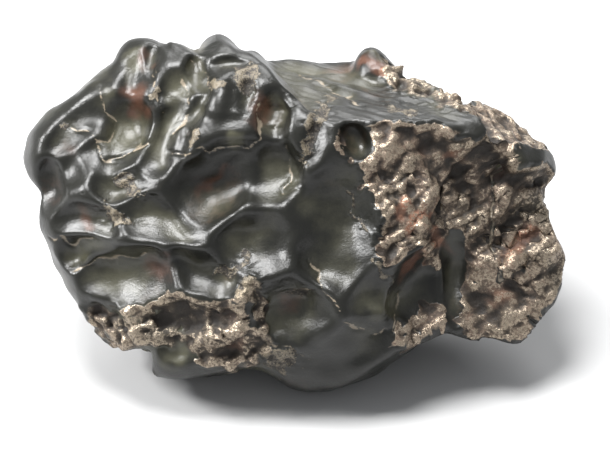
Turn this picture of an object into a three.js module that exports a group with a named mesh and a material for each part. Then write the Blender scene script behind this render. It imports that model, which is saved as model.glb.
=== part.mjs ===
// Iron meteorite with thumb-print hollows: one natural lump of nickel-iron.
//
// The lump is described in its own "face frame": u runs to the right along the
// longest side, v runs up the face and w points straight out of the face. At
// the end it is leaned back into the attitude it rests in, with +Z up.
// All lengths are millimetres.

import * as THREE from 'three';
import { mergeVertices } from 'three/addons/utils/BufferGeometryUtils.js';

// ---------------------------------------------------------------- dimensions
const HALF_THICKNESS = 25;      // face to mid-plane, and mid-plane to back
const SQUARENESS = 2.6;         // 2 is an ellipse, higher is boxier
const RIM_FADE = 0.55;          // share of the thickness the rim detail reaches
const LEAN_DEGREES = 40;        // the face leans back this far from upright
const REST_CUT = 33.2;          // centre of the lump to the worn flat it rests on
const SHELL_DETAIL = 23;        // subdivision of the skin: 20 * (n + 1)^2 faces
const SPINE_HALF = 34;          // half length of the line the skin is grown from
const EVENING_ROUNDS = 6;       // times the skin's triangles are evened out
const EVENING_PULL = 0.5;       // share of the way towards the neighbours
const WORN_ROUNDS = 2;          // rounds that only wear the crests down
const WORN_PULL = 0.3;
const FLAT_CATCH = 0.4;         // points this close to the worn flat join it
const CRUST_COLOUR = 0x24231f;
const CRUST_ROUGHNESS = 0.38;
const CRUST_METALNESS = 0.85;

// Outline of the lump seen square on to its face, as [u, v], once round.
const OUTLINE = [
  [-60, 14], [-59, 17.5], [-55, 22], [-49.5, 27], [-44, 31.5], [-40, 34],
  [-38.5, 37], [-36.5, 38.8], [-33.5, 39.2], [-30.8, 38], [-29, 37.5],
  [-25.5, 37.5], [-22.4, 35.3], [-20.5, 37.6], [-17.8, 40], [-15, 38.7],
  [-13.2, 36], [-4, 36.5], [10, 37.5], [17, 37.5], [24, 33.5], [30, 29],
  [39, 26.5], [49, 22], [54.5, 17.5], [57.3, 10.5], [56.5, 5], [55.5, -1],
  [57.5, -5], [60, -11.5], [58, -17.5], [56.5, -22.5], [54, -24.5],
  [52, -27.5], [49, -29.5], [45, -30], [41.5, -29], [39, -26], [36, -25],
  [32, -25.5], [27, -28.5], [21, -33], [15, -36.5], [9, -38.8], [3, -39.7],
  [-2, -38.5], [-8.5, -33.6], [-13, -34], [-22, -36.3], [-28, -37],
  [-32.5, -35.8], [-32, -30], [-34, -29.3], [-38, -30], [-42, -28.8],
  [-48.5, -21.5], [-52.5, -13.5], [-55.5, -7.5], [-59, -0.5], [-57.5, 4.5],
];

// Thumb-print hollows of the face: [u, v, half length, half width, turn, depth].
// The long axis is turned anticlockwise from +u, in degrees.
const FACE_HOLLOWS = [
  [-56, 6.5, 5, 3.5, 80, 1.6],
  [-49.5, 12, 7.5, 3.6, 52, 1.8],
  [-48, 22, 7, 3.8, 42, 2.2],
  [-44.5, 15, 6, 4, 30, 2.6],
  [-35.4, 33.5, 4.4, 3.6, 60, 1.1],
  [-30.8, 35.8, 5.5, 2, 80, 2],
  [-22.6, 33.6, 5.5, 2, 98, 2],
  [-17.8, 33.4, 5.5, 1.5, 4, 0.8],
  [-38.4, 20.4, 11, 8.2, 76, 6.2],
  [-27.2, 28.6, 6.4, 4.6, 66, 2.6],
  [-28.6, 18.6, 14.5, 5.6, 70, 5.2],
  [-22.6, 22, 9, 2.2, 72, 2.4],
  [-11.2, 28.5, 5.5, 2, 84, 1.5],
  [-5.8, 23, 7.6, 4.6, 84, 4.6],
  [-18.5, 6.8, 17, 9.6, 30, 8],
  [-5, 10.5, 8, 6.4, 70, 5],
  [-9.5, -6, 12.5, 9.4, 35, 6],
  [8.5, -2, 18.5, 12.6, 104, 7.4],
  [12.7, 16.2, 4.4, 2.6, 90, 3.4],
  [4.5, 17.5, 8, 2.6, 70, 1.4],
  [-1, -22.5, 11, 10.4, 80, 7.4],
  [19.5, -18.5, 9.8, 8.6, 0, 5.4],
  [28, -16, 5.4, 6, 0, 2.6],
  [35.5, -17.5, 8, 3.2, 86, 1.7],
  [-40.5, -14.5, 14, 8, 5, 6],
  [-50, -1.5, 10, 5.2, 3, 4],
  [-50, -8.5, 8.5, 4.2, 12, 3.2],
  [-33, 0, 12, 6.4, -18, 5.6],
  [-38, 7, 11, 5, -10, 4.2],
  [-21, -13, 13, 6.2, -14, 6],
  [-45, -23, 7.5, 4.5, -30, 2.4],
  [-27, -23.5, 14, 6.4, 2, 5],
  [-27, -31.2, 4.6, 4.4, 0, 2.2],
  [-15, -31, 7, 3.6, 12, 1.8],
  [14, -31.5, 16, 6, 28, 2],
];
const FACE_CREST = 0.6;         // least rounding of the crests between face hollows
const FACE_CREST_GROWTH = 0.17; // extra rounding for each millimetre of half width
const FACE_DROOP = 0.18;        // how far the face hollows open downward
const SQUARE_TO_SKIN = 0.35;    // how far a face hollow turns with the skin

// Hollows of the sides, top and back are spread evenly and vary in size.
const OUTER_HOLLOWS = 96;
const OUTER_LENGTH = [8, 14];
const OUTER_WIDTH = [0.62, 0.95];   // as a share of the length
const OUTER_DEPTH = 0.42;           // as a share of the width
const OUTER_CREST = 1.6;

// Rounded swellings: centre, half sizes, turn and blend.
const HEEL = { at: [-4, -14, -20], size: [28, 11, 11.5], turn: 0, blend: 6 };
const NOSE = { at: [-54, 14.5, 3], size: [6, 8.5, 10], turn: -28, blend: 3 };
const COLUMN = { at: [-17.4, 22.5, 15.2], size: [4.4, 10.5, 7.6], turn: -6, blend: 1 };
const ARCH = { at: [-18, 30.5, 9], size: [4.6, 2.6, 5.5], turn: 0, blend: 1 };
const CREST = { at: [-25.6, 33.2, 6.5], size: [2.2, 6, 4.5], turn: 32, blend: 1 };
const KNOBS = [
  { at: [-34, 33, 2], size: [5.4, 6, 9], turn: 12, blend: 2 },
  { at: [-26.5, 32, 4], size: [4, 6.4, 8], turn: 20, blend: 1.2 },
  { at: [-17.8, 33.5, 1], size: [4.4, 6.4, 8], turn: 0, blend: 1.2 },
  { at: [16.8, 31, -9], size: [4.4, 6.4, 7], turn: 8, blend: 2.5 },
  { at: [22.5, 27.5, -8], size: [9, 3.6, 8], turn: -38, blend: 2 },
];

// Crests wander: slow waves in mixed directions shift every hollow a little.
const WAVES = 7;
const WAVE_LENGTH = [11, 26];
const WANDER = 0.75;

// Broken ground: facets spread through a box, each with its own tilt.
const FACETS = 96;
const FACET_BOX = { low: [14, -34, -16], high: [64, 22, 26] };
const FACET_TILT = 0.42;
const FACET_STEP = 1.0;
const FACET_REACH = 3.4;

// ------------------------------------------------------------- small helpers
const clamp = THREE.MathUtils.clamp;
const radians = THREE.MathUtils.degToRad;
const vec = (xyz) => new THREE.Vector3(...xyz);
const mix = (low, high, share) => low + (high - low) * share;

// Rounded versions of max and min: the join is smoothed over a width k.
function smoothMax(a, b, k) {
  const h = clamp(0.5 + 0.5 * (a - b) / k, 0, 1);
  return b + (a - b) * h + k * h * (1 - h);
}
const smoothMin = (a, b, k) => -smoothMax(-a, -b, k);

// Evenly spread shares between 0 and 1; `axis` picks an independent series.
const SPREAD = [0.8191725, 0.6710436, 0.5497005, 0.4503, 0.3688, 0.3021];
const spread = (index, axis) => (0.5 + (index + 1) * SPREAD[axis]) % 1;

// ------------------------------------------------------------------ the lump
const OUTLINE_STEPS = 720;
const FINE_SMOOTHING = 5;
const BROAD_SMOOTHING = 61;

// Outline as a table of radii, one per half degree, smoothed over `window`.
function outlineTable(points) {
  const polar = points
    .map(([u, v]) => ({ angle: Math.atan2(v, u), radius: Math.hypot(u, v) }))
    .sort((a, b) => a.angle - b.angle);
  const last = polar[polar.length - 1];
  const ring = [
    { angle: last.angle - 2 * Math.PI, radius: last.radius },
    ...polar,
    { angle: polar[0].angle + 2 * Math.PI, radius: polar[0].radius },
  ];
  let index = 0;
  return Array.from({ length: OUTLINE_STEPS }, (_, step) => {
    const angle = -Math.PI + (2 * Math.PI * step) / OUTLINE_STEPS;
    while (ring[index + 1].angle < angle) index += 1;
    const from = ring[index];
    const to = ring[index + 1];
    return mix(from.radius, to.radius, (angle - from.angle) / (to.angle - from.angle));
  });
}

function smoothTable(table, window) {
  const reach = (window - 1) / 2;
  return table.map((_, step) => {
    let sum = 0;
    for (let shift = -reach; shift <= reach; shift += 1) {
      sum += table[(step + shift + table.length) % table.length];
    }
    return sum / window;
  });
}

const fineOutline = smoothTable(outlineTable(OUTLINE), FINE_SMOOTHING);
const broadOutline = smoothTable(smoothTable(fineOutline, BROAD_SMOOTHING), BROAD_SMOOTHING);

function readTable(table, angle) {
  const place = ((angle + Math.PI) / (2 * Math.PI)) * OUTLINE_STEPS;
  const step = Math.floor(place);
  const here = table[step % OUTLINE_STEPS];
  const next = table[(step + 1) % OUTLINE_STEPS];
  return mix(here, next, place - step);
}

// Signed distance to the uncut lump: negative inside, positive outside.
function lump(p) {
  const angle = Math.atan2(p.y, p.x);
  const level = p.z / HALF_THICKNESS;
  const detail = Math.exp(-((level / RIM_FADE) ** 2));
  const radius = mix(readTable(broadOutline, angle), readTable(fineOutline, angle), detail);
  const flat = Math.hypot(p.x, p.y) / radius;
  const power = flat ** SQUARENESS + Math.abs(level) ** SQUARENESS;
  const share = power ** (1 / SQUARENESS) + 1e-6;
  const length = p.length();
  return 0.9 * (length - length / share);
}

// Which way is down once the lump leans back.
const lean = radians(LEAN_DEGREES);
const down = vec([0, -Math.cos(lean), -Math.sin(lean)]);

// Unit vector for a share of the height and a share of the turn.
function heading(high, round) {
  const height = 1 - 2 * high;
  const angle = 2 * Math.PI * round;
  const across = Math.sqrt(1 - height * height);
  return vec([height, across * Math.cos(angle), across * Math.sin(angle)]);
}

// Three sums of slow waves, one for each direction.
const waves = [0, 1, 2].map((axis) => Array.from({ length: WAVES }, (_, step) => {
  const index = WAVES * axis + step;
  const length = mix(...WAVE_LENGTH, spread(index, 3));
  return {
    rise: heading(spread(index, 0), spread(index, 1)).multiplyScalar(2 * Math.PI / length),
    start: 2 * Math.PI * spread(index, 4),
  };
}));

function wander(p) {
  const [u, v, w] = waves.map((series) => series.reduce((sum, { rise, start }) => (
    sum + Math.sin(rise.dot(p) + start)
  ), 0));
  return vec([u, v, w]).multiplyScalar(WANDER / Math.sqrt(WAVES)).add(p);
}

// Each step of the shaping takes the distance so far and returns a new one.
const shaping = [];
function skin(p) {
  const wandered = wander(p);
  return shaping.reduce((distance, shape) => shape(p, distance, wandered), lump(p));
}

// Walk from `start` along `direction` until the skin is met.
function walkToSkin(start, direction) {
  const p = start.clone();
  for (let step = 0; step < 90; step += 1) {
    const distance = skin(p);
    if (Math.abs(distance) < 0.01) break;
    p.addScaledVector(direction, clamp(distance * 0.75, -2, 6));
  }
  return p;
}

// Outward direction of the skin near p.
function skinNormal(p) {
  const reach = 0.8;
  const slope = ['x', 'y', 'z'].map((axis) => {
    const ahead = p.clone();
    const behind = p.clone();
    ahead[axis] += reach;
    behind[axis] -= reach;
    return skin(ahead) - skin(behind);
  });
  return vec(slope).normalize();
}

// ------------------------------------------------------------- shaping steps
// Facet the broken ground: every seed tilts the surface its own way.
const facetSeeds = Array.from({ length: FACETS }, (_, index) => {
  const centre = FACET_BOX.low.map((low, axis) => (
    mix(low, FACET_BOX.high[axis], spread(index, axis))
  ));
  const tilt = [3, 4, 5].map((axis) => FACET_TILT * (2 * spread(index, axis) - 1));
  return { centre: vec(centre), tilt: vec(tilt), lift: FACET_STEP * (2 * spread(index, 4) - 1) };
});

function facetRelief(p) {
  let weights = 1e-9;
  let total = 0;
  for (const { centre, tilt, lift } of facetSeeds) {
    const offset = p.clone().sub(centre);
    const weight = Math.exp(-offset.lengthSq() / FACET_REACH ** 2);
    weights += weight;
    total += weight * (lift + offset.dot(tilt));
  }
  return total / weights;
}

// Take away everything that lies beyond all of the given planes at once.
function breakAway(planes, blend, relief = () => 0) {
  const faces = planes.map(([point, normal]) => (
    new THREE.Plane().setFromNormalAndCoplanarPoint(vec(normal).normalize(), vec(point))
  ));
  shaping.push((p, distance) => {
    const beyond = faces
      .map((face) => face.distanceToPoint(p))
      .reduce((a, b) => smoothMin(a, b, blend));
    return smoothMax(distance, beyond > -4 ? beyond + relief(p) : beyond, blend);
  });
}

// Add a rounded knob.
function addKnob({ at, size, turn, blend }) {
  const centre = vec(at);
  const axis = new THREE.Vector3(0, 0, 1);
  const reach = vec(size);
  shaping.push((p, distance) => {
    const local = p.clone().sub(centre).applyAxisAngle(axis, -radians(turn)).divide(reach);
    const share = local.length() + 1e-6;
    const slope = local.divide(reach).length() + 1e-6;
    return smoothMin(distance, share * (share - 1) / slope, blend);
  });
}

// Scoop a rounded hollow into the skin at `centre`, opening along `facing`.
function scoop(centre, facing, [length, width, turn, depth], crest) {
  const up = Math.abs(facing.y) < 0.85 ? vec([0, 1, 0]) : vec([0, 0, 1]);
  const along = up.cross(facing).normalize().applyAxisAngle(facing, radians(turn));
  const across = facing.clone().cross(along);
  shaping.push((p, distance, wandered) => {
    const offset = wandered.clone().sub(centre);
    const a = offset.dot(along) / length;
    const b = offset.dot(across) / width;
    const steep = Math.hypot(1, 2 * depth * a / length, 2 * depth * b / width);
    const bowl = (offset.dot(facing) + depth * (1 - a * a - b * b)) / steep;
    return smoothMax(distance, bowl, crest);
  });
}

function scoopFace([u, v, ...bowl]) {
  const outward = vec([0, -FACE_DROOP, 1]);
  const halfWidth = bowl[1];
  const centre = walkToSkin(vec([u, v, 45]), vec([0, 0, -1]));
  const facing = outward.lerp(skinNormal(centre), SQUARE_TO_SKIN).normalize();
  scoop(centre, facing, bowl, FACE_CREST + FACE_CREST_GROWTH * halfWidth);
}

// Ray that grows one part of the skin: out of the spine towards `aim`.
function skinAlong(aim) {
  const start = new THREE.Vector3(SPINE_HALF * aim.x, 0, 0).addScaledVector(aim, 60);
  return walkToSkin(start, aim.clone().negate());
}

function scoopOutside(index) {
  const aim = heading(spread(index, 0), spread(index, 1));
  const onFace = aim.z > -0.15;
  const onShoulder = aim.y > 0.45 && aim.z > -0.75 && aim.x > -0.3;
  const underneath = aim.dot(down) > 0.84;
  if (onFace || onShoulder || underneath) return;
  const length = mix(...OUTER_LENGTH, spread(index, 3));
  const width = length * mix(...OUTER_WIDTH, spread(index, 4));
  const centre = skinAlong(aim);
  const bowl = [length, width, 360 * spread(index, 5), width * OUTER_DEPTH];
  scoop(centre, skinNormal(centre), bowl, OUTER_CREST);
}

// ----------------------------------------------------------------- the order
// Broad forms: upper left flank, top plateau, keel, lower left flank, heel.
breakAway([[[-34, 20, 18.5], [-0.3, 0.36, 0.88]]], 4);
breakAway([[[10, 20.4, 22], [0.06, 0.93, 0.36]], [[-2.5, 28.8, 0], [0.72, 0.69, 0.05]]], 1);
breakAway([[[10, -27, 18], [0, -0.66, 0.75]]], 2);
breakAway([[[-36, -20, 18], [-0.3, -0.5, 0.8]]], 4);
addKnob(HEEL);

// Broken right end, in two steps.
breakAway([
  [[18, 5, 21.5], [0.44, 0.05, 0.9]],
  [[30, 17.5, 20], [-0.25, -1, 0.35]],
  [[18.5, 2, 20], [0.9, 0.3, 0.35]],
], 0.8, facetRelief);
breakAway([
  [[33, 0, 10.5], [0.22, -0.1, 0.95]],
  [[44, 8.5, 12], [-0.35, -1, 0.15]],
  [[31.5, -2, 10], [0.9, -0.25, 0.3]],
], 0.8, facetRelief);

// Broken ledge along the back of the plateau, towards the right.
breakAway([
  [[36, 23.4, 0], [0.42, 0.9, 0.12]],
  [[28, 24, -4], [0.8, 0.1, -0.6]],
], 0.8, facetRelief);

for (let index = 0; index < OUTER_HOLLOWS; index += 1) scoopOutside(index);
addKnob(NOSE);
KNOBS.forEach(addKnob);
addKnob(COLUMN);
addKnob(ARCH);
FACE_HOLLOWS.forEach(scoopFace);
addKnob(CREST);

// Worn flat it rests on: level once the lump leans back.
shaping.push((p, distance) => Math.max(distance, p.dot(down) - REST_CUT));

// ------------------------------------------------------------------ the skin
function growSkin() {
  const ball = new THREE.IcosahedronGeometry(1, SHELL_DETAIL);
  ball.deleteAttribute('normal');
  ball.deleteAttribute('uv');
  const geometry = mergeVertices(ball, 1e-5);
  const corners = geometry.attributes.position;
  const points = Array.from({ length: corners.count }, (_, index) => (
    skinAlong(new THREE.Vector3().fromBufferAttribute(corners, index).normalize())
  ));
  const neighbours = neighbourLists(geometry.index, points.length);
  for (let round = 0; round < EVENING_ROUNDS; round += 1) {
    drawTogether(points, neighbours, EVENING_PULL);
    points.forEach(putOnSkin);
  }
  for (let round = 0; round < WORN_ROUNDS; round += 1) {
    drawTogether(points, neighbours, WORN_PULL);
  }
  points.forEach(joinFlat);
  points.forEach((point, index) => corners.setXYZ(index, point.x, point.y, point.z));
  return geometry;
}

function neighbourLists(triangles, count) {
  const lists = Array.from({ length: count }, () => new Set());
  for (let start = 0; start < triangles.count; start += 3) {
    const corners = [0, 1, 2].map((corner) => triangles.getX(start + corner));
    corners.forEach((corner, place) => lists[corner].add(corners[(place + 1) % 3]));
  }
  return lists.map((list) => [...list]);
}

// Draw every point a share of the way towards the middle of its neighbours.
function drawTogether(points, neighbours, pull) {
  const middles = neighbours.map((list) => {
    const middle = new THREE.Vector3();
    list.forEach((neighbour) => middle.add(points[neighbour]));
    return middle.divideScalar(list.length);
  });
  points.forEach((point, index) => point.lerp(middles[index], pull));
}

function joinFlat(point) {
  const short = REST_CUT - point.dot(down);
  if (short < FLAT_CATCH) point.addScaledVector(down, short);
}

function putOnSkin(point) {
  const reach = 0.05;
  const distance = skin(point);
  const slope = vec(['x', 'y', 'z'].map((axis) => {
    const ahead = point.clone();
    ahead[axis] += reach;
    return (skin(ahead) - distance) / reach;
  }));
  const step = -distance / Math.max(slope.length(), 0.5);
  point.addScaledVector(slope.normalize(), clamp(step, -1, 1));
}

// Lean back, then put the middle of the footprint at the origin.
function setDown(geometry) {
  geometry.rotateX(Math.PI / 2 - lean);
  geometry.computeBoundingBox();
  const { min, max } = geometry.boundingBox;
  geometry.translate(-(min.x + max.x) / 2, -(min.y + max.y) / 2, -min.z);
  geometry.computeVertexNormals();
  return geometry;
}

const iron = new THREE.MeshStandardMaterial({
  name: 'crust',
  color: CRUST_COLOUR,
  roughness: CRUST_ROUGHNESS,
  metalness: CRUST_METALNESS,
});
const meteorite = new THREE.Mesh(setDown(growSkin()), iron);
meteorite.name = 'meteorite';

const model = new THREE.Group();
model.name = 'iron_meteorite';
model.add(meteorite);

export default model;
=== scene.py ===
# %% [markdown]
# An iron meteorite, finished
#
# The lump is solid nickel-iron. On its way through the air the outside melted and
# blew away, which left smooth thumb-print hollows under a thin black crust. One end
# broke off late, so it shows rough, brown, torn metal instead of crust.
#
# The plain solid of the frame already has the right size and the broad hollows. Here
# its skin is grown finer and laid on to a sharper description of the same lump, then
# given crust, torn metal, rust, light and a floor.

import math

import bpy
import numpy as np
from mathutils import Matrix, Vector


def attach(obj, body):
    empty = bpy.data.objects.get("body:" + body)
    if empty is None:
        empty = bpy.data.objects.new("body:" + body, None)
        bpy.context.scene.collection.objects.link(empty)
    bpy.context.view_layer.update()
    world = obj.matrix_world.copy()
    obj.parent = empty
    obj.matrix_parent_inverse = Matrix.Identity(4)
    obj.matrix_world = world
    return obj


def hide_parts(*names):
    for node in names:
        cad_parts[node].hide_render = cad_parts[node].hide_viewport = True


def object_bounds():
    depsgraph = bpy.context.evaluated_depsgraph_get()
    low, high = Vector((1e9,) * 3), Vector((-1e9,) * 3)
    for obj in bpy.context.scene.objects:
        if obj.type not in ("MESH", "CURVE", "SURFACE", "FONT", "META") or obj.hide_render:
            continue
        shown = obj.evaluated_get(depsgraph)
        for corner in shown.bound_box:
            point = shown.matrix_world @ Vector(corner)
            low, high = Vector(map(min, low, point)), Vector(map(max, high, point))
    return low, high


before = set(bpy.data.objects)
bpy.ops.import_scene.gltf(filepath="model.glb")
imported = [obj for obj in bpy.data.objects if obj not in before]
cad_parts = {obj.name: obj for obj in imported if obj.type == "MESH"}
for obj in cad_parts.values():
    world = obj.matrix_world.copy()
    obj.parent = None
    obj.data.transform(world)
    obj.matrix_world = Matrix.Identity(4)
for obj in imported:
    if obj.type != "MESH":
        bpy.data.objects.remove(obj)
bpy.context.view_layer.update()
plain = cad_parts["meteorite"]

# %% [markdown]
# ## The lump's own directions
#
# The big hollowed face is easiest to describe square on: `u` runs right along it, `v`
# up it and `w` straight out of it, in millimetres. The lump rests leaning back, so a
# turn about the long axis and a shift take one description to the other.

# %% Directions of the face
MM = 0.001
LEAN = math.radians(40)
REST_CUT = 33.2  # middle of the lump to the worn flat it rests on

face_to_frame = np.array(
    [
        [1, 0, 0],
        [0, math.sin(LEAN), -math.cos(LEAN)],
        [0, math.cos(LEAN), math.sin(LEAN)],
    ]
)
down = -face_to_frame[2]


def to_face(points, shift):
    """Points of the frame, in metres, as u, v, w in millimetres."""
    return (points / MM - shift) @ face_to_frame


def to_frame(points, shift):
    """Points of the face, in millimetres, as x, y, z in metres."""
    return (points @ face_to_frame.T + shift) * MM


# %% [markdown]
# ## Joining and cutting shapes
#
# A shape is a function that gives the distance to its skin: below zero inside, above
# zero outside. The larger of two distances cuts one shape by another and the smaller
# joins them. Rounding the choice over a width `k` gives worn crests, not knife edges.


# %% Rounded joins and even spreads
def smooth_max(a, b, k):
    h = np.clip(0.5 + 0.5 * (a - b) / k, 0, 1)
    return b + (a - b) * h + k * h * (1 - h)


def smooth_min(a, b, k):
    return -smooth_max(-a, -b, k)


def unit(direction):
    direction = np.asarray(direction, float)
    return direction / np.linalg.norm(direction)


SPREAD = (0.8191725, 0.6710436, 0.5497005, 0.4503, 0.3688, 0.3021)


def spread(index, axis):
    """Even shares between 0 and 1; each axis is a series of its own."""
    return (0.5 + (index + 1) * SPREAD[axis]) % 1


# %% [markdown]
# ## The uncut lump
#
# Seen square on, the lump is a long rounded block with a nose at the left, knobs on
# the skyline, a hooked right end and a keel below. The outline is read as a radius
# round the middle. The small bumps belong to the rim, so they fade away from it.

# %% Outline and uncut lump
HALF_THICKNESS = 25.0
SQUARENESS = 2.6
RIM_FADE = 0.55
OUTLINE = [
    (-60, 14), (-59, 17.5), (-55, 22), (-49.5, 27), (-44, 31.5), (-40, 34),
    (-38.5, 37), (-36.5, 38.8), (-33.5, 39.2), (-30.8, 38), (-29, 37.5),
    (-25.5, 37.5), (-22.4, 35.3), (-20.5, 37.6), (-17.8, 40), (-15, 38.7),
    (-13.2, 36), (-4, 36.5), (10, 37.5), (17, 37.5), (24, 33.5), (30, 29),
    (39, 26.5), (49, 22), (54.5, 17.5), (57.3, 10.5), (56.5, 5), (55.5, -1),
    (57.5, -5), (60, -11.5), (58, -17.5), (56.5, -22.5), (54, -24.5),
    (52, -27.5), (49, -29.5), (45, -30), (41.5, -29), (39, -26), (36, -25),
    (32, -25.5), (27, -28.5), (21, -33), (15, -36.5), (9, -38.8), (3, -39.7),
    (-2, -38.5), (-8.5, -33.6), (-13, -34), (-22, -36.3), (-28, -37),
    (-32.5, -35.8), (-32, -30), (-34, -29.3), (-38, -30), (-42, -28.8),
    (-48.5, -21.5), (-52.5, -13.5), (-55.5, -7.5), (-59, -0.5), (-57.5, 4.5),
]  # fmt: skip
OUTLINE_STEPS = 721
RIM_WINDOW = 5
BROAD_WINDOW = 61
SHORT_OF_TRUE = 0.9  # keeps a step along the distance from passing the skin


def ring_smooth(table, window):
    """Running mean round a closed ring whose last entry repeats the first."""
    reach = window // 2
    ring = table[:-1]
    padded = np.concatenate([ring[-reach:], ring, ring[:reach]])
    means = np.convolve(padded, np.ones(window) / window, "valid")
    return np.append(means, means[0])


corner_u, corner_v = np.array(OUTLINE, float).T
corner_angle = np.arctan2(corner_v, corner_u)
corner_order = np.argsort(corner_angle)
ring_angle = np.linspace(-math.pi, math.pi, OUTLINE_STEPS)
ring_radius = np.interp(
    ring_angle,
    corner_angle[corner_order],
    np.hypot(corner_u, corner_v)[corner_order],
    period=2 * math.pi,
)
rim_radius = ring_smooth(ring_radius, RIM_WINDOW)
broad_radius = ring_smooth(ring_smooth(rim_radius, BROAD_WINDOW), BROAD_WINDOW)


def uncut_lump(p):
    angle = np.arctan2(p[1], p[0])
    level = p[2] / HALF_THICKNESS
    rim = np.interp(angle, ring_angle, rim_radius)
    broad = np.interp(angle, ring_angle, broad_radius)
    radius = broad + (rim - broad) * np.exp(-((level / RIM_FADE) ** 2))
    flat = np.hypot(p[0], p[1]) / radius
    share = (flat**SQUARENESS + np.abs(level) ** SQUARENESS) ** (1 / SQUARENESS)
    length = np.sqrt((p**2).sum(0))
    return SHORT_OF_TRUE * (length - length / (share + 1e-6))


print("outline spans, mm:", np.ptp(corner_u), "by", np.ptp(corner_v))

# %% [markdown]
# ## Shaping steps
#
# The lump is cut and added to in order, as a carver would: each step takes the
# distance so far and returns a new one. `walk_to_skin` finds the skin of everything
# done so far, so each hollow is sunk below the ground it really lies in.

# %% The list of steps, and finding the skin
shaping = []
WALK_STEPS = 160
WALK_SHARE = 0.75  # of the distance, taken at each step
WALK_BACK = -2
WALK_ON = 6
ON_SKIN = 0.01


def skin(p):
    distance = uncut_lump(p)
    wandered = wander(p)
    for step in shaping:
        distance = step(p, distance, wandered)
    return distance


def skin_at(point):
    return float(skin(np.asarray(point, float).reshape(3, 1))[0])


def walk_to_skin(start, direction):
    point = np.array(start, float)
    for _ in range(WALK_STEPS):
        distance = skin_at(point)
        if abs(distance) < ON_SKIN:
            break
        point += direction * np.clip(WALK_SHARE * distance, WALK_BACK, WALK_ON)
    return point


def skin_normal(point, reach=0.8):
    slope = [skin_at(point + reach * axis) - skin_at(point - reach * axis) for axis in np.eye(3)]
    return unit(slope)


# %% [markdown]
# Nature never cuts along a ruler, so the hollows are read through a gentle wander:
# a sum of slow waves in mixed directions that shifts every crest a little. Each set
# of waves starts a series of its own, so that no two sets are alike.


# %% Slow waves
def heading(high, turn):
    """Unit vector for a share of the height and a share of the turn."""
    height = 1 - 2 * high
    across = math.sqrt(1 - height * height)
    angle = 2 * math.pi * turn
    return np.array([height, across * math.cos(angle), across * math.sin(angle)])


def make_waves(count, shortest, longest, first):
    """Each wave is its direction, scaled to radians per millimetre, and its start."""
    waves = []
    for index in range(first, first + count):
        length = shortest + (longest - shortest) * spread(index, 3)
        rise = heading(spread(index, 0), spread(index, 1)) * (2 * math.pi / length)
        waves.append((rise, 2 * math.pi * spread(index, 4)))
    return waves


def wave_sum(p, waves):
    """Sum of the waves at p, mostly between -1 and 1."""
    total = np.zeros(p.shape[1])
    for rise, start in waves:
        total += np.sin(rise @ p + start)
    return total / math.sqrt(len(waves))


WANDER = 0.75
WANDER_COUNT = 7
wander_waves = [make_waves(WANDER_COUNT, 11, 26, WANDER_COUNT * axis) for axis in range(3)]
SWELL = 0.22
SWELL_SERIES = 500
swell_waves = make_waves(12, 5, 15, SWELL_SERIES)


def wander(p):
    return p + WANDER * np.array([wave_sum(p, waves) for waves in wander_waves])


# %% [markdown]
# The torn metal breaks in flat facets, each tilted its own way. A set of seeds is
# spread through the broken end and every point takes the tilt of the seeds nearest it.

# %% Facets of the torn end
FACETS = 96
FACET_LOW = np.array([14, -34, -16.0])
FACET_HIGH = np.array([64, 22, 26.0])
FACET_TILT = 0.42
FACET_STEP = 1.0
FACET_REACH = 3.4


def facet_relief(p):
    weights = np.full(p.shape[1], 1e-9)
    total = np.zeros(p.shape[1])
    for index in range(FACETS):
        place = np.array([spread(index, axis) for axis in (0, 1, 2)])
        tilt = FACET_TILT * (2 * np.array([spread(index, axis) for axis in (3, 4, 5)]) - 1)
        lift = FACET_STEP * (2 * spread(index, 4) - 1)
        offset = p - (FACET_LOW + (FACET_HIGH - FACET_LOW) * place)[:, None]
        weight = np.exp(-(offset**2).sum(0) / FACET_REACH**2)
        weights += weight
        total += weight * (lift + tilt @ offset)
    return total / weights


# %% [markdown]
# Within each big facet the metal tore along small crystal faces. They come from a
# jittered grid of cells, each with a tilt of its own.


# %% Small crystal faces
CELL_MARGIN = 0.15  # a seed keeps this far from the sides of its cell
MIX_X, MIX_Y, MIX_Z, MIX_SALT = 127.1, 311.7, 74.7, 53.3
SCRAMBLE = 43758.5453


def cell_random(cells, salt):
    """A repeatable number from 0 to 1 for every whole-numbered cell."""
    mixed = cells[0] * MIX_X + cells[1] * MIX_Y + cells[2] * MIX_Z + salt * MIX_SALT
    return np.abs(np.sin(mixed) * SCRAMBLE) % 1


def crystal_relief(p, size, tilt, step, sharp):
    """Height of small tilted faces about `size` across."""
    scaled = p / size
    home = np.floor(scaled)
    weights = np.full(p.shape[1], 1e-12)
    total = np.zeros(p.shape[1])
    for shift in np.ndindex(3, 3, 3):
        cell = home + np.array(shift)[:, None] - 1
        place = np.array([cell_random(cell, salt) for salt in (1, 2, 3)])
        centre = cell + CELL_MARGIN + (1 - 2 * CELL_MARGIN) * place
        offset = scaled - centre
        lean = tilt * (2 * np.array([cell_random(cell, salt) for salt in (4, 5, 6)]) - 1)
        lift = step * (2 * cell_random(cell, 7) - 1)
        weight = np.exp(-sharp * (offset**2).sum(0))
        weights += weight
        total += weight * (lift + (lean * offset).sum(0))
    return size * total / weights


# %% [markdown]
# ## The carver's tools
#
# `break_away` takes off everything beyond a set of planes, `add_knob` adds a rounded
# swelling and `scoop` sinks a rounded hollow that opens the way it faces. A torn face
# gets a relief of facets, crystal faces and the edges of layers in the metal.

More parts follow.
